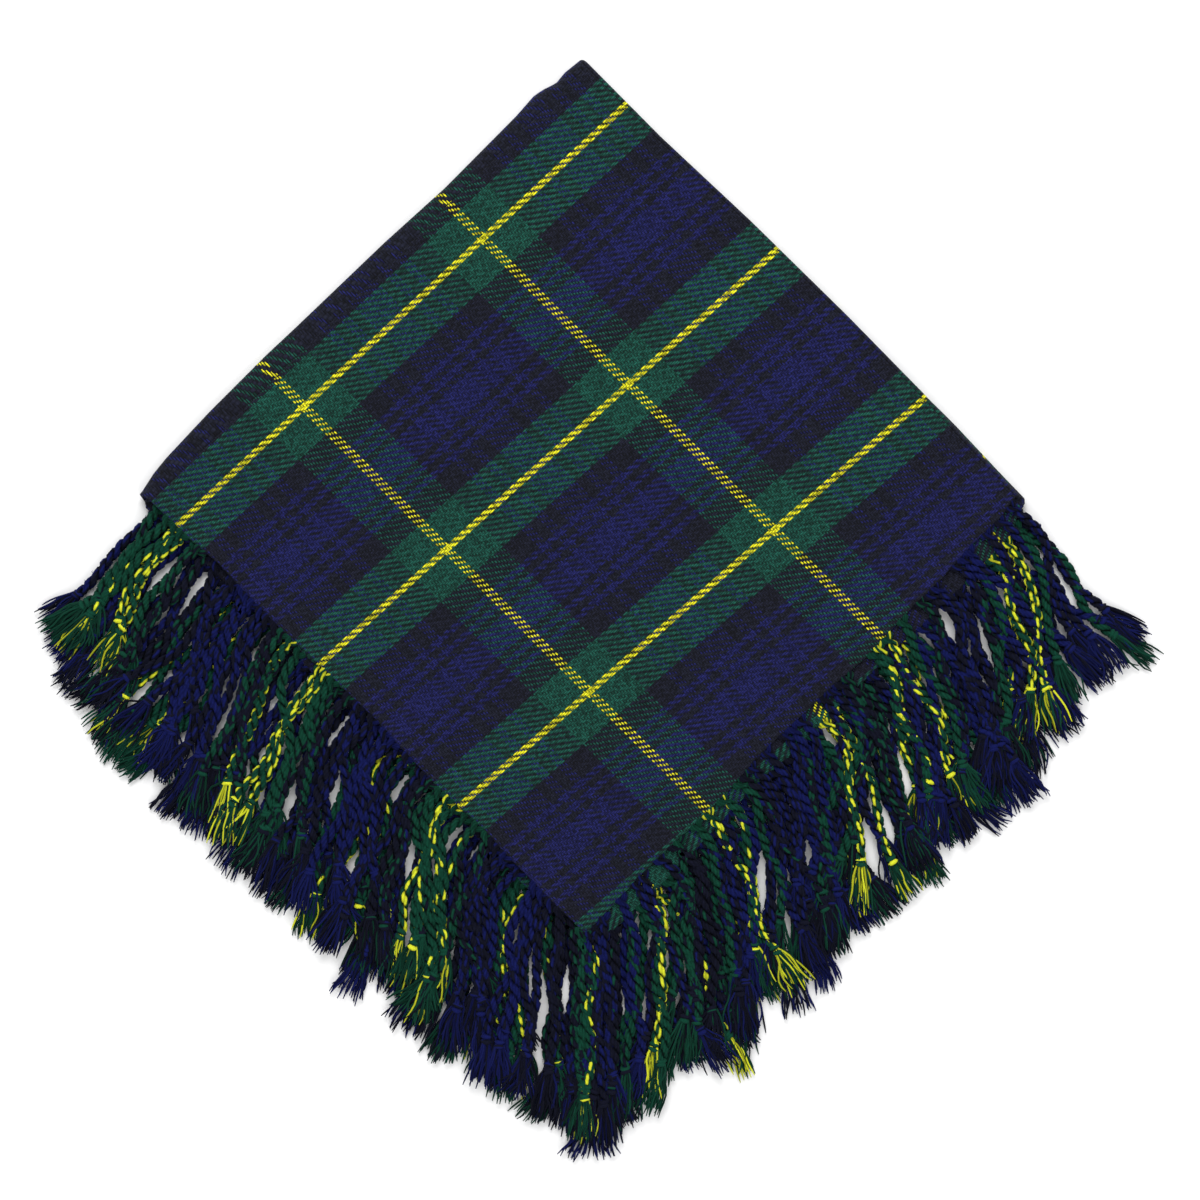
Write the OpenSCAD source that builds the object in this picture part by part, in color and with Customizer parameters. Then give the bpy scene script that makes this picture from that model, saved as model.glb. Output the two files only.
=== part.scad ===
// Folded throw blanket: one square woven cloth with a twisted fringe on all
// four edges, folded in half and in half again, so four layers lie flat.
// Units: mm. Origin: centre of the folded square's underside, +Z up.
// -X is the centre fold, +Y the side folds, and the fringes hang from the
// front (-Y, ends of the warp) and from the side (+X, ends of the weft).
// Layers are counted upwards: 0 and 1 stay down, 2 and 3 open as a book does.

/* [Cloth] */
// Side of the folded square
side = 450; // [320:5:560]
// Thickness of the cloth
cloth_t = 2.2; // [1.4:0.1:3.2]
// Air between two layers
layer_gap = 1.7; // [0.8:0.1:3]
// Reach of the two inner layers past the outer ones at the side
side_overhang = 14; // [0:1:24]
// Reach of the lower half past the upper half at the front
front_overhang = 6; // [0:1:14]
// Clearance between the two halves along the centre fold
hinge_gap = 0.6; // [0.4:0.1:1.5]

/* [Fringe] */
// Length of a tassel, from the cloth's edge to its tip
fringe_len = 160; // [60:5:220]
// Diameter of a twisted tassel
tassel_d = 6; // [3:0.25:8]
// Spacing of the tassels along an edge
tassel_spacing = 12.6; // [8:0.2:24]
// Share of the cloth's thickness that a tassel has at its root
root_share = 0.6; // [0.4:0.05:0.75]
// Length over which loose threads gather into a tassel
gather_len = 12; // [6:1:30]
// Width of the strip of loose threads along the cloth's edge
header_w = 2; // [1.5:0.5:6]
// Length over which a tassel's threads change height
link_slope = 3; // [2:0.5:6]

/* [Hidden] */
$fn = 32;
// clearance between tassels, and between the lowest ones and the floor
tassel_gap = 0.3;
floor_gap = 0.05;
// level stretch at both ends of a tassel's threads, held by what they join
link_level = 1;
// length of strip past the side of its first and last tassel
strip_end = 4;
// two rows of tassels lie in each half, so a thick fringe opens the layers
fringe_h = 2 * (tassel_d + tassel_gap + floor_gap);
layer_pitch = max(cloth_t + layer_gap, (fringe_h - cloth_t) / 3);
stack_h = 3 * layer_pitch + cloth_t;
fold_gap = layer_pitch - cloth_t;
// the tassels of two neighbouring layers lie side by side
tassel_pitch = max(tassel_spacing, 2 * (tassel_d + tassel_gap));
end_margin = strip_end + tassel_d / 2;
root_d = root_share * cloth_t;
half = side / 2;
navy = [0.11, 0.11, 0.34];
black = [0.10, 0.10, 0.14];
green = [0.07, 0.27, 0.22];

function is_upper(i) = i > 1;
function is_inner(i) = i == 1 || i == 2;
function layer_z(i) = i * layer_pitch;
function hinge_x(i) = -half + (is_upper(i) ? hinge_gap : 0);
function side_x(i) = half + (is_inner(i) ? side_overhang : 0);
function front_y(i) = -half - (is_upper(i) ? 0 : front_overhang);
function row_z(i) = is_upper(i) ? stack_h - row_z(0) : tassel_d / 2 + floor_gap;
// every second row is shifted by half a spacing
function row_shift(i) = (i % 2) * tassel_pitch / 2;

// one layer of cloth
module quarter(i) {
    color(navy)
    translate([hinge_x(i), front_y(i), layer_z(i)])
    cube([side_x(i) - hinge_x(i), half - front_y(i), cloth_t]);
}

// a half round bend of cloth, bulging along -X, centred on the Y axis
module bend(inner_r, length) {
    outer_r = inner_r + cloth_t;
    rotate([90, 0, 0])
    linear_extrude(length, center = true)
    difference() {
        circle(outer_r);
        circle(inner_r);
        translate([0, -outer_r])
        square([outer_r, 2 * outer_r]);
    }
}

// joins layers i and i + 1 along +Y
module side_fold(i) {
    length = half - hinge_x(i);
    color(black)
    translate([half - length / 2, half, layer_z(i) + cloth_t + fold_gap / 2])
    rotate([0, 0, -90])
    bend(fold_gap / 2, length);
}

// joins two layers along -X, above and below the middle of the stack
module centre_fold(inner_r) {
    color(navy)
    translate([-half, 0, stack_h / 2])
    bend(inner_r, side);
}

// one tassel along -Y, its loose threads gathering into a round twist
module tassel(length) {
    rotate([90, 0, 0])
    rotate_extrude()
    polygon([
        [0, 0], [root_d / 2, 0], [tassel_d / 2, gather_len],
        [tassel_d / 2, length], [0, length]
    ]);
}

// the threads of one tassel along -Y, rising from the strip to the twist
module link(rise) {
    length = link_slope + 2 * link_level;
    rotate([90, 0, 90])
    linear_extrude(cloth_t, center = true)
    polygon([
        [link_level, 0], [0, 0], [-link_slope, rise], [-length, rise],
        [-length, rise + cloth_t], [-link_slope, rise + cloth_t],
        [0, cloth_t], [link_level, cloth_t]
    ]);
}

// a strip of loose threads along +X at layer i's edge, with its tassels
module fringe_row(i, row_len, strip_w) {
    rise = row_z(i) - layer_z(i) - cloth_t / 2;
    free_len = row_len - 2 * end_margin - row_shift(i);
    count = floor(free_len / tassel_pitch) + 1;
    first = end_margin + row_shift(i);
    last = first + (count - 1) * tassel_pitch;
    translate([0, -strip_w, 0])
    cube([last + end_margin, strip_w, cloth_t]);
    for (x = [first : tassel_pitch : last + tassel_pitch / 2])
        translate([x, -strip_w, 0]) {
            link(rise);
            translate([0, -link_slope - link_level, rise + cloth_t / 2])
            tassel(fringe_len - strip_w - link_slope - link_level);
        }
}

module warp_fringe(i) {
    color(green)
    translate([hinge_x(i), front_y(i), layer_z(i)])
    fringe_row(i, side_x(i) - hinge_x(i), header_w);
}

// an outer layer's threads lie flat until they are past the inner layer
module weft_fringe(i) {
    color(navy)
    translate([side_x(i), front_y(i), layer_z(i)])
    rotate([0, 0, 90])
    fringe_row(i, half - front_y(i), header_w + (is_inner(i) ? 0 : side_overhang));
}

quarter(0);  // lower_outer_quarter
quarter(1);  // lower_inner_quarter
quarter(2);  // upper_inner_quarter
quarter(3);  // upper_outer_quarter
side_fold(0);  // lower_side_fold
side_fold(2);  // upper_side_fold
centre_fold(fold_gap / 2);  // inner_centre_fold
centre_fold(stack_h / 2 - cloth_t);  // outer_centre_fold
warp_fringe(0);  // lower_outer_warp_fringe
warp_fringe(1);  // lower_inner_warp_fringe
warp_fringe(2);  // upper_inner_warp_fringe
warp_fringe(3);  // upper_outer_warp_fringe
weft_fringe(0);  // lower_outer_weft_fringe
weft_fringe(1);  // lower_inner_weft_fringe
weft_fringe(2);  // upper_inner_weft_fringe
weft_fringe(3);  // upper_outer_weft_fringe
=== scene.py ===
"""Looks of the folded throw blanket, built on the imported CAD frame, in metres.

The cloth is folded along x = -HALF (centre fold) and y = +HALF (side folds).
Its colours come from cloth coordinates: u runs across the warp, away from the
centre fold, and v runs across the weft, away from the side folds. Both carry
on through the folds, so the check pattern does too.
"""

import math

import bpy
import numpy as np
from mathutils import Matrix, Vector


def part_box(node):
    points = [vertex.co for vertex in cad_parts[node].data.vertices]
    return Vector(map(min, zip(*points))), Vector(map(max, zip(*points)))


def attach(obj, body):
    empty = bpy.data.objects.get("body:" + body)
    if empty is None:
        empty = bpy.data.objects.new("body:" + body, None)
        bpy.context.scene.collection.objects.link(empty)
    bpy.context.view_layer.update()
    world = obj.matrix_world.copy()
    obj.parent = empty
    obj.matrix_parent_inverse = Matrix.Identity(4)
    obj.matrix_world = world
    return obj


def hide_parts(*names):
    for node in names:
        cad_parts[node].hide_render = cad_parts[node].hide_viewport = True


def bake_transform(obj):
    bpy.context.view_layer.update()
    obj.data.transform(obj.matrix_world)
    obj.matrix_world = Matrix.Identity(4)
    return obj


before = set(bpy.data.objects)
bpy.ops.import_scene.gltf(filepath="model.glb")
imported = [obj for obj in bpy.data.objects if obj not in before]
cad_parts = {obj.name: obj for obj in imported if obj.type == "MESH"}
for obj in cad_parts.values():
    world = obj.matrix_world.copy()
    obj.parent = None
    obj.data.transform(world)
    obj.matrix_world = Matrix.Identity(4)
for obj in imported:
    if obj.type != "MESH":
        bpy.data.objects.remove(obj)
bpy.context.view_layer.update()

MM = 0.001
LAYERS = ["lower_outer", "lower_inner", "upper_inner", "upper_outer"]
BODIES = ["lower_half", "lower_half", "upper_half", "upper_half"]

# ---------------------------------------------------------------- cloth sizes
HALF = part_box("lower_outer_quarter")[1][0]
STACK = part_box("upper_outer_quarter")[1][2]
SIDE = 2 * HALF
HINGE_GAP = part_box("upper_outer_quarter")[0][0] + HALF
THICK = 3.0 * MM
LAYER_STEP = (STACK - THICK) / 3
MID_Z = [THICK / 2 + i * LAYER_STEP for i in range(4)]
INNER_BEND = LAYER_STEP / 2
OUTER_BEND = 3 * LAYER_STEP / 2
GRID = 140
INNER_STEPS, OUTER_STEPS = 11, 21
ROUND_OFF = 2.2 * MM
RIPPLE = 1.3 * MM
RIPPLE_SHARE = [0.0, 0.3, 0.6, 1.0]
RIPPLE_FADE = 0.04
EDGE_WAVE = 2.0 * MM
EDGE_WAVELENGTHS = (0.20, 0.02)
# the side edges pull in next to the side folds, the inner layers' more
PULLED_IN = [3 * MM, 8 * MM, 8 * MM, 3 * MM]
PULL_FADE = 0.022
# how far the soft folds bulge past a tight one, at places along them
CENTRE_BULGE_AT = [-0.232, -0.225, -0.21, -0.195, -0.15, -0.09, -0.06, 0.03, 0.09, 0.165,
                   0.184, 0.192, 0.202, 0.212, 0.225, 0.232]
CENTRE_BULGE = [3.0, 3.7, 7.0, 8.5, 10.0, 10.0, 9.0, 7.0, 4.0, 4.3, 5.6, 4.0, 0.6, 1.6, 0.2, 0.0]
SIDE_BULGE_AT = [-0.24, -0.15, -0.06, 0.04, 0.12, 0.20, 0.24]
SIDE_BULGE = [0.6, 0.2, 3.2, 4.2, 3.4, 0.8, 0.0]
SIDE_CREEP = 1.8 * MM
BULGE_FADE = 0.1
# share of the centre fold's bulge that its inner bend has
INNER_BULGE = 0.3

# ---------------------------------------------------------------- weave sizes
WARP_PITCH = 1.208 * MM
WEFT_PITCH = 1.8 * MM
YELLOW, GREEN, BLACK, BLUE = "yellow", "green", "black", "blue"
# thread counts from the middle of a yellow line to the middle of the wide blue
WARP_HALF_SETT = [(YELLOW, 2), (GREEN, 20), (BLACK, 15), (BLUE, 4), (BLACK, 4),
                  (BLUE, 4), (BLACK, 4), (BLUE, 9)]
WEFT_HALF_SETT = [(YELLOW, 2), (GREEN, 15), (BLACK, 10), (BLUE, 4), (BLACK, 4),
                  (BLUE, 4), (BLACK, 4), (BLUE, 7)]
FIRST_WARP_LINE = 33.5 * MM
FIRST_WEFT_LINE = 142.0 * MM
# the cloth was folded a little off its grain
SKEW = 12.9 * MM
SKEW_GROWTH = 0.05

# --------------------------------------------------------------- fringe sizes
TASSEL_PITCH = 12.6 * MM
ROW_MARGIN = 7.0 * MM
ROOT_INSET = 3 * MM
CORD_LEN = 118 * MM
CORD_STEPS = 84
BRUSH_LEN = 40 * MM
BRUSH_STEPS = 8
GATHER = 11 * MM
TWIST_PITCH = 18 * MM
PLY_OFFSET = 1.85 * MM
PLY_DEEP = 1.9 * MM
PLY_WIDE = 2.8 * MM
YARNS_PER_PLY = 5
YARNS_PER_CORD = 2 * YARNS_PER_PLY
# the yarns of a stripe part as they are twisted, so neighbours end up apart
MIXED_YARNS = [0, 3, 6, 1, 8, 5, 2, 9, 4, 7]
BRUSH_YARNS = 28
# neighbours lean on each other, so their roots come out in twos and threes
BUNCHING = [0.0, 0.10, 0.20, 0.40]
NEW_BUNCH = 0.45
# a tassel takes its threads from a little more than its own spacing
SHARED_YARNS = 1.45
HAIRS = 22
KNOT_AT = 1.5 * MM
CORD_REACH = 4.3 * MM
FLOOR_CLEAR = 0.3 * MM

# ------------------------------------------------ which way the tassels point
# degrees towards the open corner: next to the fold, at the corner, and more
# or less on each layer
WARP_LEAN, WEFT_LEAN, CORNER_LEAN = 0, 12, 44
LAYER_LEAN = [-6, 12, 20, 0]
LEAN_SPREAD, CORNER_SPREAD = 10, 2
CORNER_STARTS, CORNER_FADE = 0.85, 0.12
# the tassels next to a fold are shorter, and those of the warp don't lean out
WARP_SHORT, WEFT_SHORT, SHORT_FADE = 0.70, 0.92, 0.10
OUTWARD_LEAN, OUTWARD_FROM, OUTWARD_FADE = 0.35, 0.02, 0.06

# --------------------------------------------------------------- wool surface
FIBRE_SCALE, PATCH_SCALE = 1300.0, 35.0
FIBRE_CONTRAST, FIBRE_OFFSET, FIBRE_DARKEST = 2.8, -0.4, 0.15
PATCH_CONTRAST, PATCH_OFFSET = 0.3, 0.85
CLOTH_LEVEL, FRINGE_LEVEL = 0.97, 0.95
CLOTH_RELIEF, FRINGE_RELIEF = 0.35 * MM, 0.5 * MM
# round the threads, in the units of the twill's own wave, which is -1 to 1
WARP_CROWN, WARP_LIFT = 1.2, 0.35
WEFT_CROWN, WEFT_SINK, WEFT_LIGHT = 2.8, -1.95, 0.6
THREAD_SHADE, THREAD_DARKEST = 0.50, 0.05
STITCH_CONTRAST, STITCH_OFFSET = 1.1, 0.42
# little light gets in between the plies and the yarns
PLY_SHADE, PLY_DARKEST = 1.05, 0.12

# -------------------------------------------------------------------- colours
COLOURS = {
    YELLOW: (0.56, 0.54, 0.012),
    GREEN: (0.006, 0.056, 0.040),
    BLACK: (0.0065, 0.0075, 0.0165),
    BLUE: (0.0080, 0.0095, 0.070),
}
FRINGE_COLOURS = {
    YELLOW: (0.64, 0.68, 0.030),
    GREEN: (0.0046, 0.046, 0.027),
    BLACK: (0.0055, 0.0062, 0.0150),
    BLUE: (0.0058, 0.0088, 0.072),
}


def smooth(value):
    """Smoothstep of a value that is cut to 0..1."""
    t = np.clip(value, 0, 1)
    return t * t * (3 - 2 * t)


def mix(a, b, share):
    return a + (b - a) * share


def ripple(x, y, seed, longest=0.30, shortest=0.07):
    """A smooth field of waves over the plane, from about -1 to 1."""
    rng = np.random.default_rng(seed)
    total = 0 * (x + y)
    weight = 0
    for wavelength in np.geomspace(longest, shortest, 7):
        heading = rng.uniform(0, math.pi)
        along = x * math.cos(heading) + y * math.sin(heading)
        total = total + wavelength * np.sin(2 * math.pi * along / wavelength + rng.uniform(0, 6.3))
        weight += wavelength * 0.6
    return total / weight


# ------------------------------------------------------------------ materials
class Maths:
    """Writes arithmetic as nodes of one material."""

    def __init__(self, tree):
        self.tree = tree

    def put(self, socket, value):
        if isinstance(value, bpy.types.NodeSocket):
            self.tree.links.new(value, socket)
        else:
            socket.default_value = value

    def do(self, operation, *values):
        n = self.tree.nodes.new("ShaderNodeMath")
        n.operation = operation
        for socket, value in zip(n.inputs, values):
            self.put(socket, value)
        return n.outputs[0]

    def blend(self, kind, share, a, b):
        n = self.tree.nodes.new("ShaderNodeMix")
        n.data_type = "RGBA"
        n.blend_type = kind
        self.put(n.inputs["Factor"], share)
        self.put(n.inputs["A"], a)
        self.put(n.inputs["B"], b)
        return n.outputs["Result"]

    def shaded(self, colour, shade):
        """The colour, lighter or darker by a factor."""
        grey = self.tree.nodes.new("ShaderNodeCombineColor")
        for socket in grey.inputs:
            self.put(socket, shade)
        return self.blend("MULTIPLY", 1.0, colour, grey.outputs[0])

    def noise(self, scale, detail=2.0):
        n = self.tree.nodes.new("ShaderNodeTexNoise")
        n.inputs["Scale"].default_value = scale
        n.inputs["Detail"].default_value = detail
        return n.outputs["Fac"]

    def sett(self, coordinate, first_line, pitch, half_sett, colours=COLOURS):
        """The yarn colour at a cloth coordinate, as steps of a repeating ramp."""
        whole = half_sett + half_sett[::-1]
        count = sum(n for _, n in whole)
        ramp = self.tree.nodes.new("ShaderNodeValToRGB")
        ramp.color_ramp.interpolation = "CONSTANT"
        stops = ramp.color_ramp.elements
        at = 0
        steps = []
        for colour, threads in whole:
            if not steps or steps[-1][1] != colour:
                steps.append((at / count, colour))
            at += threads
        stops[0].position = 0
        stops[0].color = (*colours[steps[0][1]], 1)
        stops.remove(stops[1])
        for position, colour in steps[1:]:
            stops.new(position).color = (*colours[colour], 1)
        threads = self.do("DIVIDE", self.do("SUBTRACT", coordinate, first_line), pitch)
        index = self.do("FLOOR", threads)
        share = self.do("DIVIDE", self.do("ADD", index, 0.5), float(count))
        self.put(ramp.inputs["Fac"], self.do("FRACT", share))
        return ramp.outputs["Color"], threads, index


def wool(name):
    """A new woollen material, its node maths and its shader."""
    material = bpy.data.materials.new(name)
    material.use_nodes = True
    tree = material.node_tree
    shader = tree.nodes["Principled BSDF"]
    shader.inputs["Specular IOR Level"].default_value = 0.15
    shader.inputs["Sheen Weight"].default_value = 0.05
    shader.inputs["Sheen Roughness"].default_value = 0.45
    shader.inputs["Sheen Tint"].default_value = (0.6, 0.65, 0.8, 1)
    return material, Maths(tree), shader


def attribute(maths, name):
    n = maths.tree.nodes.new("ShaderNodeAttribute")
    n.attribute_name = name
    return n


def finish_wool(maths, shader, colour, height, depth, level):
    """Fibre-scale mottling, roughness and bump, on top of colour and height."""
    fibres = maths.noise(FIBRE_SCALE)
    patches = maths.noise(PATCH_SCALE)
    light = maths.do("MULTIPLY_ADD", fibres, FIBRE_CONTRAST * level, FIBRE_OFFSET * level)
    light = maths.do("MAXIMUM", light, FIBRE_DARKEST)
    patch_light = maths.do("MULTIPLY_ADD", patches, PATCH_CONTRAST, PATCH_OFFSET)
    light = maths.do("MULTIPLY", light, patch_light)
    maths.put(shader.inputs["Base Color"], maths.shaded(colour, light))
    maths.put(shader.inputs["Roughness"], maths.do("MULTIPLY_ADD", fibres, 0.3, 0.7))
    bump = maths.tree.nodes.new("ShaderNodeBump")
    bump.inputs["Strength"].default_value = 0.8
    bump.inputs["Distance"].default_value = depth
    maths.put(bump.inputs["Height"], maths.do("MULTIPLY_ADD", fibres, 0.5, height))
    maths.put(shader.inputs["Normal"], bump.outputs[0])


def twill_material():
    """Two by two twill: each warp end floats over two picks, then under two."""
    material, maths, shader = wool("twill")
    cloth = maths.tree.nodes.new("ShaderNodeSeparateXYZ")
    maths.put(cloth.inputs[0], attribute(maths, "cloth").outputs["Vector"])
    warp_colour, warp_at, warp_index = maths.sett(
        cloth.outputs["X"], FIRST_WARP_LINE, WARP_PITCH, WARP_HALF_SETT)
    weft_colour, weft_at, weft_index = maths.sett(
        cloth.outputs["Y"], FIRST_WEFT_LINE, WEFT_PITCH, WEFT_HALF_SETT)
    # on the back of the cloth the floats change places
    turned = maths.do("MULTIPLY_ADD", maths.do("ROUND", cloth.outputs["Z"]), 2.0, -1.0)

    def wave(along, across_index):
        step = maths.do("ADD", maths.do("ADD", along, across_index), turned)
        return maths.do("COSINE", maths.do("MULTIPLY", step, math.pi / 2))

    def crown(at, index):
        """Round cross-section of a thread: 1 along its middle, 0 at its sides."""
        off = maths.do("SUBTRACT", maths.do("SUBTRACT", at, index), 0.5)
        return maths.do("MULTIPLY_ADD", maths.do("MULTIPLY", off, off), -4.0, 1.0)

    # the warp is set closely, so it covers more of the cloth than the weft
    warp_h = maths.do("MULTIPLY_ADD", crown(warp_at, warp_index), WARP_CROWN,
                      wave(weft_at, warp_index))
    warp_h = maths.do("ADD", warp_h, WARP_LIFT)
    weft_h = maths.do("MULTIPLY_ADD", crown(weft_at, weft_index), WEFT_CROWN, WEFT_SINK)
    weft_h = maths.do("SUBTRACT", weft_h, wave(warp_at, weft_index))
    warp_shows = maths.do("GREATER_THAN", warp_h, weft_h)
    colour = maths.blend("MIX", warp_shows, weft_colour, warp_colour)
    height = maths.do("MAXIMUM", warp_h, weft_h)
    # between the threads the cloth is in its own shade, and each stitch differs
    stitch = maths.tree.nodes.new("ShaderNodeCombineXYZ")
    maths.put(stitch.inputs[0], warp_index)
    maths.put(stitch.inputs[1], weft_index)
    speckle = maths.tree.nodes.new("ShaderNodeTexWhiteNoise")
    maths.put(speckle.inputs["Vector"], stitch.outputs[0])
    lit = maths.do("MAXIMUM", warp_h, maths.do("ADD", weft_h, WEFT_LIGHT))
    shade = maths.do("MULTIPLY_ADD", lit, THREAD_SHADE, THREAD_DARKEST)
    stitch_light = maths.do("MULTIPLY_ADD", speckle.outputs["Value"], STITCH_CONTRAST,
                            STITCH_OFFSET)
    colour = maths.shaded(colour, maths.do("MULTIPLY", shade, stitch_light))
    finish_wool(maths, shader, colour, height, CLOTH_RELIEF, CLOTH_LEVEL)
    return material


def yarn_material(name, first_line, pitch, half_sett):
    """Yarns of a fringe row, each in the colour that it has in the cloth, darkened by painted shade
    where little light gets in.
    """
    material, maths, shader = wool(name)
    shader.inputs["Specular IOR Level"].default_value = 0.04
    shader.inputs["Sheen Weight"].default_value = 0.03
    yarn = attribute(maths, "yarn").outputs["Fac"]
    colour, _, _ = maths.sett(yarn, first_line, pitch, half_sett, FRINGE_COLOURS)
    # painted shade: a per-point factor darkens the yarn colour in the crevices between plies and
    # yarns
    shade = maths.do("MULTIPLY_ADD", attribute(maths, "outward").outputs["Fac"], PLY_SHADE,
                     PLY_DARKEST)
    finish_wool(maths, shader, maths.shaded(colour, shade), 0.0, FRINGE_RELIEF, FRINGE_LEVEL)
    return material


def floor_material():
    material = bpy.data.materials.new("floor")
    material.use_nodes = True
    maths = Maths(material.node_tree)
    shader = material.node_tree.nodes["Principled BSDF"]
    shader.inputs["Specular IOR Level"].default_value = 0.2
    grain = maths.noise(60.0, 4.0)
    maths.put(shader.inputs["Roughness"], maths.do("MULTIPLY_ADD", grain, 0.2, 0.7))
    maths.put(shader.inputs["Base Color"],
              maths.blend("MIX", grain, (0.86, 0.86, 0.865, 1), (0.90, 0.90, 0.90, 1)))
    return material


TWILL = twill_material()
WARP_YARN = yarn_material("warp_yarn", FIRST_WARP_LINE, WARP_PITCH, WARP_HALF_SETT)
WEFT_YARN = yarn_material("weft_yarn", FIRST_WEFT_LINE, WEFT_PITCH, WEFT_HALF_SETT)


# --------------------------------------------------------------------- meshes
def new_piece(name, points, quads, material, attribute_name, domain, kind, values, rounded=None):
    """A mesh of quads with one attribute. Faces from number rounded on are flat."""
    mesh = bpy.data.meshes.new(name)
    mesh.from_pydata(points.tolist(), [], quads.tolist())
    smooth_faces = np.arange(len(quads)) < (len(quads) if rounded is None else rounded)
    mesh.polygons.foreach_set("use_smooth", smooth_faces)
    data = mesh.attributes.new(attribute_name, kind, domain).data
    data.foreach_set("vector" if kind == "FLOAT_VECTOR" else "value",
                     np.asarray(values, np.float32).ravel())
    mesh.materials.append(material)
    piece = bpy.data.objects.new(name, mesh)
    bpy.context.collection.objects.link(piece)
    return piece


def cloth_piece(name, middle, cloth, half_thick, front_face):
    """A closed sheet around a grid of middle points. front_face is 0 where the
    side that the grid's normals point to is the cloth's face, 1 if its back."""
    rows, columns = middle.shape[:2]
    along = np.gradient(middle, axis=0)
    across = np.gradient(middle, axis=1)
    normal = np.cross(along, across)
    normal /= np.linalg.norm(normal, axis=2, keepdims=True)
    offset = normal * half_thick[..., None]
    points = np.concatenate([(middle + offset).reshape(-1, 3), (middle - offset).reshape(-1, 3)])
    front = np.arange(rows * columns).reshape(rows, columns)
    back = front + rows * columns

    def faces(grid):
        corners = [grid[:-1, :-1], grid[1:, :-1], grid[1:, 1:], grid[:-1, 1:]]
        return np.stack(corners, -1).reshape(-1, 4)

    def rim(front_line, back_line):
        return np.stack([front_line[:-1], front_line[1:], back_line[1:], back_line[:-1]], -1)

    quads = np.concatenate([
        faces(front), faces(back)[:, ::-1],
        rim(front[0], back[0]), rim(front[-1], back[-1])[:, ::-1],
        rim(front[:, 0], back[:, 0])[:, ::-1], rim(front[:, -1], back[:, -1]),
    ])
    sides = [np.full((rows, columns, 1), float(s)) for s in (front_face, 1 - front_face)]
    values = np.concatenate([np.concatenate([cloth, s], 2).reshape(-1, 3) for s in sides])
    return new_piece(name, points, quads, TWILL, "cloth", "POINT", "FLOAT_VECTOR", values,
                     rounded=2 * (rows - 1) * (columns - 1))


def cloth_uv(i, from_centre, from_side):
    """Cloth coordinates on layer i, at distances from its two fold lines."""
    upper, outer = i > 1, i in (0, 3)
    centre_arc = math.pi * (OUTER_BEND if outer else INNER_BEND)
    side_arc = math.pi * INNER_BEND
    u = from_centre if upper else -centre_arc - from_centre
    v = from_side if outer else -side_arc - from_side
    u = u + (SKEW + SKEW_GROWTH * u) * (from_side / SIDE - 0.5)
    return np.stack(np.broadcast_arrays(u, v), -1)


def side_edge(i, from_side):
    """How far layer i reaches from the centre fold, along its side edge."""
    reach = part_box(LAYERS[i] + "_quarter")[1][0] + HALF
    pulled_in = PULLED_IN[i] * (1 - smooth(from_side / PULL_FADE))
    wave = EDGE_WAVE * ripple(from_side, 0 * from_side, 20 + i, *EDGE_WAVELENGTHS)
    return reach - pulled_in + wave


def front_edge(i, from_centre):
    """How far layer i reaches from the side fold, along its front edge."""
    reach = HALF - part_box(LAYERS[i] + "_quarter")[0][1]
    return reach + EDGE_WAVE * ripple(from_centre, 0 * from_centre, 30 + i, *EDGE_WAVELENGTHS)


def spread(count):
    """Grid places from 0 to 1, closer together next to the free edge at 1."""
    even = np.linspace(0, 1 - 1.5 / count, count)
    return np.concatenate([even, [1 - 0.9 / count, 1 - 0.5 / count, 1 - 0.2 / count, 1]])


def droop(i, x, y):
    """How far layer i dips between the folds, in soft ripples."""
    depth = 0.5 + 0.5 * ripple(x, y, 5)
    held = smooth((x + HALF) / RIPPLE_FADE) * smooth((HALF - y) / RIPPLE_FADE)
    return RIPPLE * RIPPLE_SHARE[i] * np.clip(depth, 0, 1) * held


def side_bulge(i, x):
    """How far the side fold bulges. The lower pair peeps out near the side edge."""
    creep = SIDE_CREEP * smooth((x - 0.1) / 0.06) if i < 2 else 0
    return np.interp(x, SIDE_BULGE_AT, SIDE_BULGE) * MM + creep


def centre_bulge(y):
    return np.interp(y, CENTRE_BULGE_AT, CENTRE_BULGE) * MM


def quarter_middle(i, from_centre, from_side):
    x = -HALF + from_centre
    y = HALF - from_side
    z = MID_Z[i] - droop(i, x, y)
    y = y + side_bulge(i, x) * (1 - smooth(from_side / BULGE_FADE))
    return np.stack(np.broadcast_arrays(x, y, z), -1)


def quarter(i):
    s, t = np.meshgrid(spread(GRID), spread(GRID), indexing="ij")
    from_side = t * SIDE
    start = HINGE_GAP if i > 1 else 0.0
    from_centre = mix(start, side_edge(i, from_side), s)
    from_side = t * front_edge(i, from_centre)
    to_edge = np.minimum(1 - s, 1 - t) * SIDE
    half_thick = THICK / 2 * np.sqrt(1 - (1 - np.clip(to_edge / ROUND_OFF, 0.01, 1)) ** 2)
    middle = quarter_middle(i, from_centre, from_side)
    # the grid's normals point down, because from_side runs towards -Y
    top_is_face = i in (1, 3)
    piece = cloth_piece(LAYERS[i] + "_cloth", middle, cloth_uv(i, from_centre, from_side),
                        half_thick, 1 if top_is_face else 0)
    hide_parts(LAYERS[i] + "_quarter")
    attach(piece, BODIES[i])
    return piece


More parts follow.
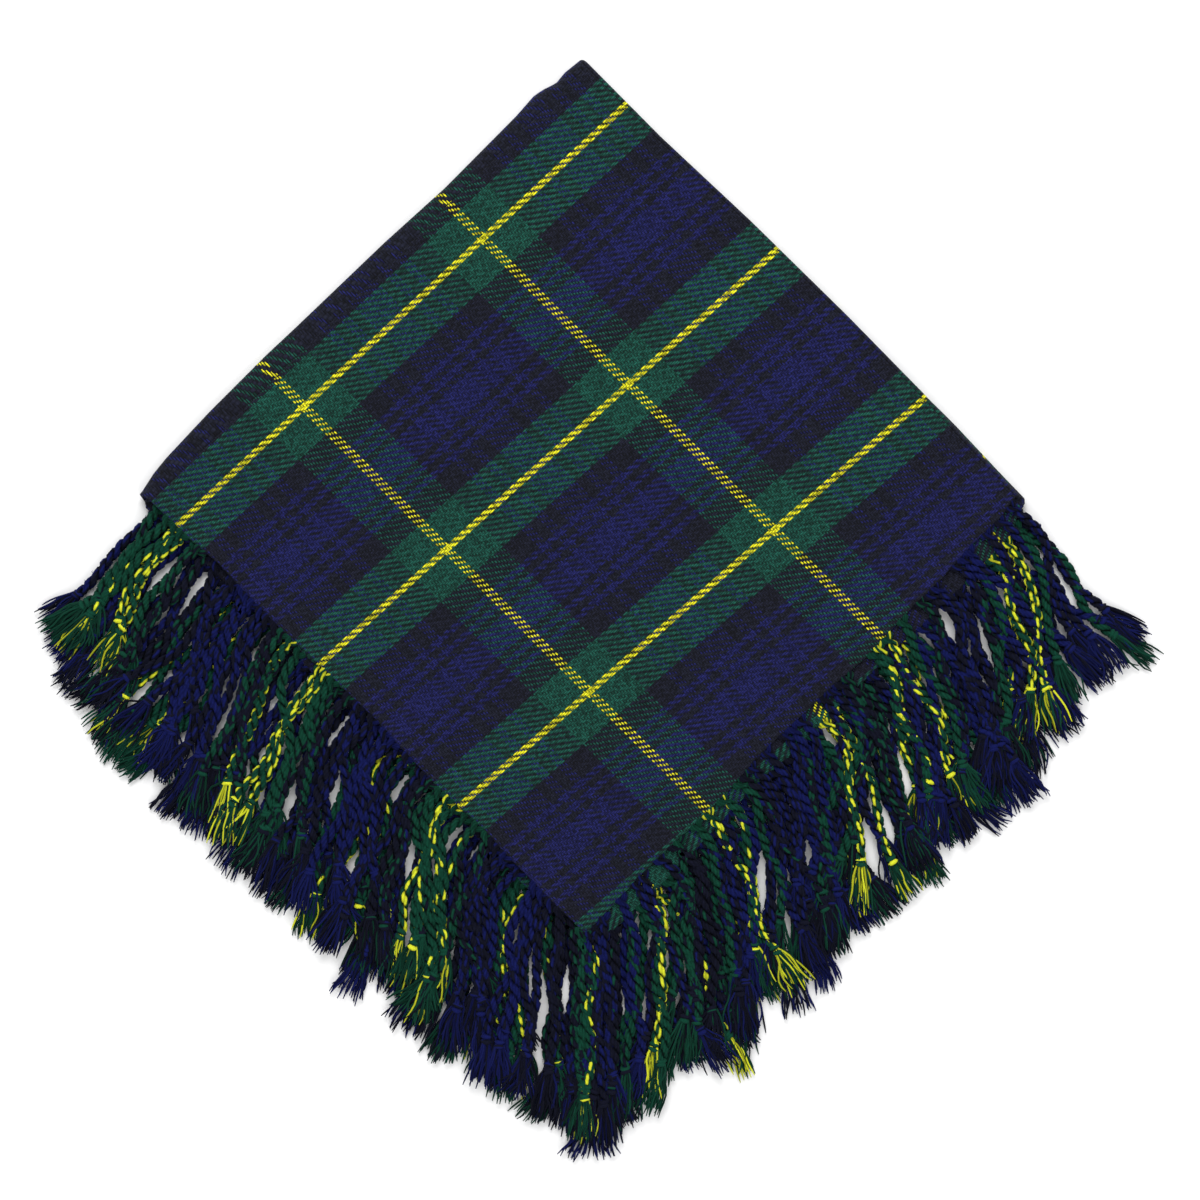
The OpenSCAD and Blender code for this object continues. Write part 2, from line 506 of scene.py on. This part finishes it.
def side_fold(low):
    """The half round bend that joins layers low and low + 1 along +Y."""
    top = low + 1
    s = spread(GRID)[:, None]
    turn = np.linspace(0, math.pi, INNER_STEPS)[None, :]
    share = turn / math.pi
    reach = mix(side_edge(top, np.zeros(1)), side_edge(low, np.zeros(1)), share)
    from_centre = mix(HINGE_GAP if top == 3 else 0.0, reach, s)
    x = -HALF + from_centre
    y = HALF + INNER_BEND * np.sin(turn) + side_bulge(low, x)
    z = (MID_Z[low] + MID_Z[top]) / 2 + INNER_BEND * np.cos(turn) + 0 * x
    u = mix(cloth_uv(top, from_centre, 0.0)[..., 0], cloth_uv(low, from_centre, 0.0)[..., 0], share)
    arc = math.pi * INNER_BEND
    v = -arc * (share if top == 3 else 1 - share) + 0 * x
    middle = np.stack([x, y, z], -1)
    half = "upper" if top == 3 else "lower"
    piece = cloth_piece(half + "_side_bend", middle[:, ::-1], np.stack([u, v], -1)[:, ::-1],
                        np.full(x.shape, THICK / 2), 0)
    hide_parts(half + "_side_fold")
    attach(piece, BODIES[low])
    return piece


def across_the_hinge(piece):
    """The piece's transform is baked into its mesh; it is attached to neither half."""
    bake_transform(piece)


def centre_fold(outer):
    """The bend along -X, around the outside of the stack or inside it."""
    radius = OUTER_BEND if outer else INNER_BEND
    top, low = (3, 0) if outer else (2, 1)
    t = spread(GRID)[:, None]
    turn = np.linspace(0, math.pi, OUTER_STEPS if outer else INNER_STEPS)[None, :]
    share = turn / math.pi
    reach = mix(front_edge(top, np.zeros(1)), front_edge(low, np.zeros(1)), share)
    from_side = t * reach
    y = HALF - from_side + side_bulge(top, -HALF) * (1 - smooth(from_side / BULGE_FADE))
    x = -HALF - (radius + centre_bulge(y) * (1 if outer else INNER_BULGE)) * np.sin(turn)
    x = x + HINGE_GAP * (1 - share)
    y = y + 0 * turn
    z = STACK / 2 + radius * np.cos(turn) + 0 * from_side
    u = -math.pi * radius * share
    u = u + (SKEW + SKEW_GROWTH * u) * (from_side / SIDE - 0.5)
    v = cloth_uv(top, 0.0, from_side)[..., 1] + 0 * u
    name = "outer" if outer else "inner"
    piece = cloth_piece(name + "_centre_bend", np.stack([x, y, z], -1), np.stack([u, v], -1),
                        np.full(x.shape, THICK / 2), 0 if outer else 1)
    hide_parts(name + "_centre_fold")
    across_the_hinge(piece)
    return piece


def corner_fold():
    """Where the side fold runs round the centre fold: a quarter of the cloth's
    middle, bent both ways."""
    turn, lap = np.meshgrid(np.linspace(0, math.pi, OUTER_STEPS),
                            np.linspace(0, math.pi, INNER_STEPS), indexing="ij")
    radius = (OUTER_BEND + INNER_BEND) / 2 + (OUTER_BEND - INNER_BEND) / 2 * np.cos(lap)
    x = -HALF - (radius + centre_bulge(HALF)) * np.sin(turn) + HINGE_GAP * (1 - turn / math.pi)
    y = HALF + INNER_BEND * np.sin(lap) + side_bulge(3, -HALF)
    z = STACK / 2 + radius * np.cos(turn)
    u = -radius * turn
    v = -INNER_BEND * lap
    piece = cloth_piece("corner_bend", np.stack([x, y, z], -1), np.stack([u, v], -1),
                        np.full(x.shape, THICK / 2), 1)
    across_the_hinge(piece)
    return piece


# --------------------------------------------------------------------- fringe
class Yarns:
    """Collects tubes of yarn. Each column of faces has its own yarn, and each point a factor of
    painted shade.
    """

    def __init__(self):
        self.points, self.quads, self.yarns, self.outward, self.count = [], [], [], [], 0

    def add(self, rings, yarns, outward, closed=False):
        steps, columns = rings.shape[:2]
        index = self.count + np.arange(steps * columns).reshape(steps, columns)
        here = index if closed else index[:-1]
        there = np.roll(index, -1, 0) if closed else index[1:]
        quads = np.stack([here, np.roll(here, -1, 1), np.roll(there, -1, 1), there], -1)
        self.points.append(rings.reshape(-1, 3))
        self.quads.append(quads.reshape(-1, 4))
        self.yarns.append(np.tile(yarns, len(here)))
        self.outward.append(np.broadcast_to(outward, (steps, columns)).ravel())
        self.count += steps * columns

    def piece(self, name, material):
        piece = new_piece(name, np.concatenate(self.points), np.concatenate(self.quads),
                          material, "yarn", "FACE", "FLOAT", np.concatenate(self.yarns))
        # the per-point factor of painted shade, which the yarn material reads
        outward = piece.data.attributes.new("outward", "FLOAT", "POINT").data
        outward.foreach_set("value", np.concatenate(self.outward).astype(np.float32))
        return piece


def frames(path):
    """Sideways and upward vectors at each point of a path that lies nearly flat."""
    tangent = np.gradient(path, axis=0)
    tangent /= np.linalg.norm(tangent, axis=1, keepdims=True)
    side = np.cross(tangent, [0, 0, 1.0])
    side /= np.linalg.norm(side, axis=1, keepdims=True)
    return tangent, side, np.cross(side, tangent)


def lay_path(root, start_heading, end_heading, length, lane, rng):
    """A limp cord's middle line: out of the cloth, round to its own heading."""
    s = np.linspace(0, length, CORD_STEPS)
    wave_len = rng.uniform(55, 95) * MM
    wave = rng.uniform(0.12, 0.36) * np.sin(2 * math.pi * s / wave_len + rng.uniform(0, 6.3))
    heading = mix(start_heading, end_heading, smooth(s / (45 * MM))) + wave * smooth(s / (35 * MM))
    step = length / (CORD_STEPS - 1)
    x = root[0] + np.cumsum(np.cos(heading)) * step
    y = root[1] + np.cumsum(np.sin(heading)) * step
    sway = 0.5 * MM * np.sin(2 * math.pi * s / (0.8 * wave_len) + rng.uniform(0, 6.3))
    z = mix(root[2], lane, smooth(s / (28 * MM))) + sway * smooth(s / (40 * MM))
    return np.stack([x, y, z], 1), s


def add_cord(yarns, path, s, columns_of_yarn, rng):
    """Two plies twisted about each other, each of a few yarns."""
    _, side, up = frames(path)
    gather = smooth(s / GATHER)[:, None]
    angle = 2 * math.pi * s / TWIST_PITCH
    drift = rng.uniform(0.55, 0.95)
    columns = 2 * YARNS_PER_PLY
    lobe = np.where(np.arange(columns) % 2 == 0, 1.09, 0.90)[None, :]
    tight = 1 - 0.12 * smooth((s - s[-1] + 8 * MM) / (8 * MM))[:, None]
    for ply in range(2):
        fluff = 1 + rng.normal(0, 0.055, (len(s), columns))
        turn = angle + math.pi * ply
        sign = 1 - 2 * ply
        apart = mix(sign * TASSEL_PITCH / 4, PLY_OFFSET * np.cos(turn)[:, None], gather)
        lift = PLY_OFFSET * np.sin(turn)[:, None] * gather
        centre = path + apart * side + lift * up
        around = 2 * math.pi * np.arange(columns)[None, :] / columns - drift * angle[:, None]
        flat = 1 / np.hypot(np.cos(around) / (3.1 * MM), np.sin(around) / (1.1 * MM))
        own = around - turn[:, None]
        full = 1 / np.hypot(np.cos(own) / PLY_DEEP, np.sin(own) / PLY_WIDE)
        radius = mix(flat, full * tight, gather) * lobe * fluff
        rings = (centre[:, None] + (radius * np.cos(around))[..., None] * side[:, None]
                 + (radius * np.sin(around))[..., None] * up[:, None])
        lobes = (np.arange(columns) + 1) // 2 % YARNS_PER_PLY
        # painted shade: yarns are darker near the cord's middle line and in the valleys between
        # lobes, lighter where fluff stands out
        reach = np.hypot(apart + radius * np.cos(around), lift + radius * np.sin(around))
        outward = mix(0.75, smooth((reach - 1.4 * MM) / (2.4 * MM)), gather)
        outward = outward * (0.55 + 0.45 * (lobe > 1)) * (1 + 2 * (fluff - 1))
        yarns.add(rings, columns_of_yarn[ply * YARNS_PER_PLY + lobes], outward)


def add_knot(yarns, end, tangent, side, up, columns_of_yarn, rng):
    """Two slanted wraps of the cord's own end, pulled tight."""
    turn = np.linspace(0, 2 * math.pi, 15)[:-1]
    around = np.linspace(0, 2 * math.pi, 9)[:-1]
    slant = rng.uniform(-1, 1) * 1.2 * MM
    for wrap, sign in enumerate((-1, 1)):
        out = np.cos(turn)[:, None] * side + np.sin(turn)[:, None] * up
        along = (sign * 1.7 * MM + slant * np.cos(turn + sign))[:, None] * tangent
        centre = end + 2.1 * MM * out + along
        bulge = 1 + 0.12 * np.cos(3 * around)[None, :]
        rings = (centre[:, None]
                 + (1.8 * MM * bulge * np.cos(around))[..., None] * out[:, None]
                 + (1.9 * MM * bulge * np.sin(around))[..., None] * tangent)
        # painted shade: each wrap is lighter on its outer side and darker on its inner side
        outward = 0.65 + 0.35 * np.cos(around)
        own_yarns = (np.arange(8) // 2 + 4 * wrap) % YARNS_PER_CORD
        yarns.add(rings, columns_of_yarn[own_yarns], outward, closed=True)


def add_tube(yarns, path, radius, sides, yarn, outward=1.0):
    _, side, up = frames(path)
    around = np.linspace(0, 2 * math.pi, sides + 1)[:-1]
    rings = (path[:, None] + (radius[:, None] * np.cos(around))[..., None] * side[:, None]
             + (radius[:, None] * np.sin(around))[..., None] * up[:, None])
    yarns.add(rings, np.full(sides, yarn), outward)


def add_brush(yarns, end, heading, lane, columns_of_yarn, rng):
    """Loose, untwisted threads beyond the knot."""
    spread_out = rng.uniform(0.20, 0.36)
    fan = np.linspace(-spread_out, spread_out, BRUSH_YARNS) + rng.normal(0, 0.05, BRUSH_YARNS)
    bend = rng.normal(0, 0.22)
    cut = BRUSH_LEN * rng.uniform(0.85, 1.05)
    for k in range(BRUSH_YARNS):
        length = cut * rng.uniform(0.74, 1.0)
        s = np.linspace(0, length, BRUSH_STEPS)
        own = heading + fan[k] * (1.2 - 0.7 * s / length) + bend * s / BRUSH_LEN
        own = own + rng.normal(0, 0.22) * np.sin(s / (5 * MM) + rng.uniform(0, 6.3))
        step = length / (BRUSH_STEPS - 1)
        low = rng.uniform(1.2, 6.0) * MM + (lane > STACK / 2) * 3.5 * MM
        start_z = end[2] + rng.uniform(-1.8, 1.8) * MM
        offset = fan[k] / spread_out * 2.4 * MM
        x = end[0] - math.sin(heading) * offset + (np.cumsum(np.cos(own)) - np.cos(own[0])) * step
        y = end[1] + math.cos(heading) * offset + (np.cumsum(np.sin(own)) - np.sin(own[0])) * step
        z = mix(start_z, low, smooth(s / length))
        radius = mix(0.85 * MM, 0.62 * MM, s / length) * np.where(s < length, 1, 0.5)
        # painted shade: each loose thread is darkened by a random amount, for the shade among the
        # brush's threads
        add_tube(yarns, np.stack([x, y, z], 1), radius, 4, columns_of_yarn[k % YARNS_PER_CORD],
                 rng.uniform(0.35, 1.0))


def add_hairs(yarns, path, columns_of_yarn, rng):
    """Short fibres that stand off the cord."""
    tangent, side, up = frames(path)
    for _ in range(HAIRS):
        at = rng.integers(6, len(path))
        turn = rng.uniform(-0.4, math.pi + 0.4)
        out = math.cos(turn) * side[at] + math.sin(turn) * up[at]
        lean = rng.uniform(-1.2, 1.2) * tangent[at]
        reach = rng.uniform(2.0, 4.2) * MM
        root = path[at] + 2.9 * MM * out
        curl = rng.normal(0, 0.5, 3) * MM
        hair = np.stack([root, root + 0.5 * reach * (0.5 * out + lean) + curl,
                         root + reach * (0.45 * out + lean)])
        add_tube(yarns, hair, np.array([0.22, 0.18, 0.10]) * MM, 3,
                 columns_of_yarn[rng.integers(0, YARNS_PER_CORD)])


def lane_height(i, rng):
    """Rows of the lower half lie on the floor, those of the upper half on them."""
    low = CORD_REACH + rng.uniform(-0.1, 0.5) * MM
    return low if i < 2 else STACK - low


def fringe_row(i, warp):
    """All the tassels along one free edge of layer i."""
    rng = np.random.default_rng(100 + 10 * i + warp)
    kind = "warp" if warp else "weft"
    node = f"{LAYERS[i]}_{kind}_fringe"
    low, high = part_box(node)
    axis = 0 if warp else 1
    start = low[axis] + ROW_MARGIN + (i % 2) * TASSEL_PITCH / 2
    places = np.arange(start, high[axis] - ROW_MARGIN + MM, TASSEL_PITCH)
    out_heading = -math.pi / 2 if warp else 0.0
    toward_corner = 1 if warp else -1
    corner = (side_edge if warp else front_edge)(i, np.array([SIDE]))[0]
    along = np.sort(np.append(places + HALF if warp else HALF - places, corner - ROOT_INSET))
    group = np.cumsum(rng.random(len(along)) < NEW_BUNCH)
    bunched = np.array([along[group == g].mean() for g in group])
    yarns = Yarns()
    first_lean = math.radians(WARP_LEAN if warp else WEFT_LEAN)
    shortest = WARP_SHORT if warp else WEFT_SHORT
    for along_edge, together in zip(along, bunched):
        share = np.clip(along_edge / SIDE, 0, 1)
        rooted = mix(along_edge, together, BUNCHING[i])
        if warp:
            edge = front_edge(i, np.array([along_edge]))[0]
            root = quarter_middle(i, rooted, edge - ROOT_INSET)
        else:
            edge = side_edge(i, np.array([along_edge]))[0]
            root = quarter_middle(i, edge - ROOT_INSET, rooted)
        near_corner = smooth((share - CORNER_STARTS) / CORNER_FADE)
        lean = mix(first_lean, math.radians(CORNER_LEAN), share ** 0.9)
        lean = lean + math.radians(LAYER_LEAN[i]) * (1 - share)
        lean = lean + rng.normal(0, math.radians(mix(LEAN_SPREAD, CORNER_SPREAD, near_corner)))
        if warp:
            lean = max(lean, -OUTWARD_LEAN * smooth((along_edge - OUTWARD_FROM) / OUTWARD_FADE))
        end_heading = out_heading + toward_corner * lean
        start_heading = mix(out_heading + rng.normal(0, 0.2), end_heading, near_corner)
        scale = rng.uniform(0.94, 1.04) * mix(shortest, 1, smooth(along_edge / SHORT_FADE))
        lane = lane_height(i, rng)
        path, s = lay_path(root, start_heading, end_heading, CORD_LEN * scale, lane, rng)
        offsets = (np.arange(YARNS_PER_CORD) + 0.5) / YARNS_PER_CORD - 0.5
        coordinate = along_edge + offsets * SHARED_YARNS * TASSEL_PITCH
        if warp:
            thread = cloth_uv(i, coordinate, edge)[..., 0]
        else:
            thread = cloth_uv(i, edge, coordinate)[..., 1]
        thread = thread[MIXED_YARNS]
        add_cord(yarns, path, s, thread, rng)
        add_hairs(yarns, path, thread, rng)
        tangent, side, up = (v[-1] for v in frames(path))
        knot = path[-1] + KNOT_AT * tangent
        add_knot(yarns, knot, tangent, side, up, thread, rng)
        add_brush(yarns, knot, math.atan2(tangent[1], tangent[0]), lane, thread, rng)
    piece = yarns.piece(f"{LAYERS[i]}_{kind}_tassels", WARP_YARN if warp else WEFT_YARN)
    co = np.array([v.co for v in piece.data.vertices])
    co[:, 2] = np.clip(co[:, 2], FLOOR_CLEAR, STACK - FLOOR_CLEAR)
    piece.data.vertices.foreach_set("co", co.ravel())
    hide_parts(node)
    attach(piece, BODIES[i])
    return piece


cloths = [quarter(i) for i in range(4)]
side_bends = [side_fold(0), side_fold(2)]
centre_bends = [centre_fold(True), centre_fold(False), corner_fold()]
rows = [[fringe_row(i, True), fringe_row(i, False)] for i in range(4)]


# --------------------------------------------------------------------- studio
FLOOR_REACH = 3
WORLD_LIGHT = 0.75
# name, place, size and power
LAMPS = [("key", (-1.2, 1.0, 1.8), 1.2, 38), ("fill", (1.4, -0.6, 1.6), 1.6, 12)]
AIMED_AT = (0.05, -0.04, 0)


def studio():
    floor_mesh = bpy.data.meshes.new("floor")
    r = FLOOR_REACH
    floor_mesh.from_pydata([(-r, -r, 0), (r, -r, 0), (r, r, 0), (-r, r, 0)], [], [(0, 1, 2, 3)])
    floor_mesh.materials.append(floor_material())
    floor = bpy.data.objects.new("floor", floor_mesh)
    bpy.context.collection.objects.link(floor)
    world = bpy.data.worlds.new("studio")
    world.use_nodes = True
    world.node_tree.nodes["Background"].inputs["Color"].default_value = (1, 1, 1, 1)
    world.node_tree.nodes["Background"].inputs["Strength"].default_value = WORLD_LIGHT
    bpy.context.scene.world = world
    for name, place, size, power in LAMPS:
        light = bpy.data.lights.new(name, "AREA")
        light.size = size
        light.energy = power
        lamp = bpy.data.objects.new(name, light)
        lamp.location = place
        bpy.context.collection.objects.link(lamp)
        aim = np.array(AIMED_AT) - np.array(place)
        lamp.rotation_euler = (math.atan2(math.hypot(aim[0], aim[1]), -aim[2]), 0,
                               math.atan2(aim[0], -aim[1]) + math.pi)


def camera():
    """Straight down, turned an eighth so that the square stands on its corner."""
    frame_width = 0.8856
    lens, sensor = 100.0, 36.0
    data = bpy.data.cameras.new("camera")
    data.lens = lens
    data.sensor_width = sensor
    view = bpy.data.objects.new("camera", data)
    view.location = (0.0595, -0.0438, frame_width * lens / sensor)
    view.rotation_euler = (0, 0, math.pi / 4)
    bpy.context.collection.objects.link(view)
    bpy.context.scene.camera = view


studio()
camera()
bpy.context.scene.view_settings.view_transform = "Standard"
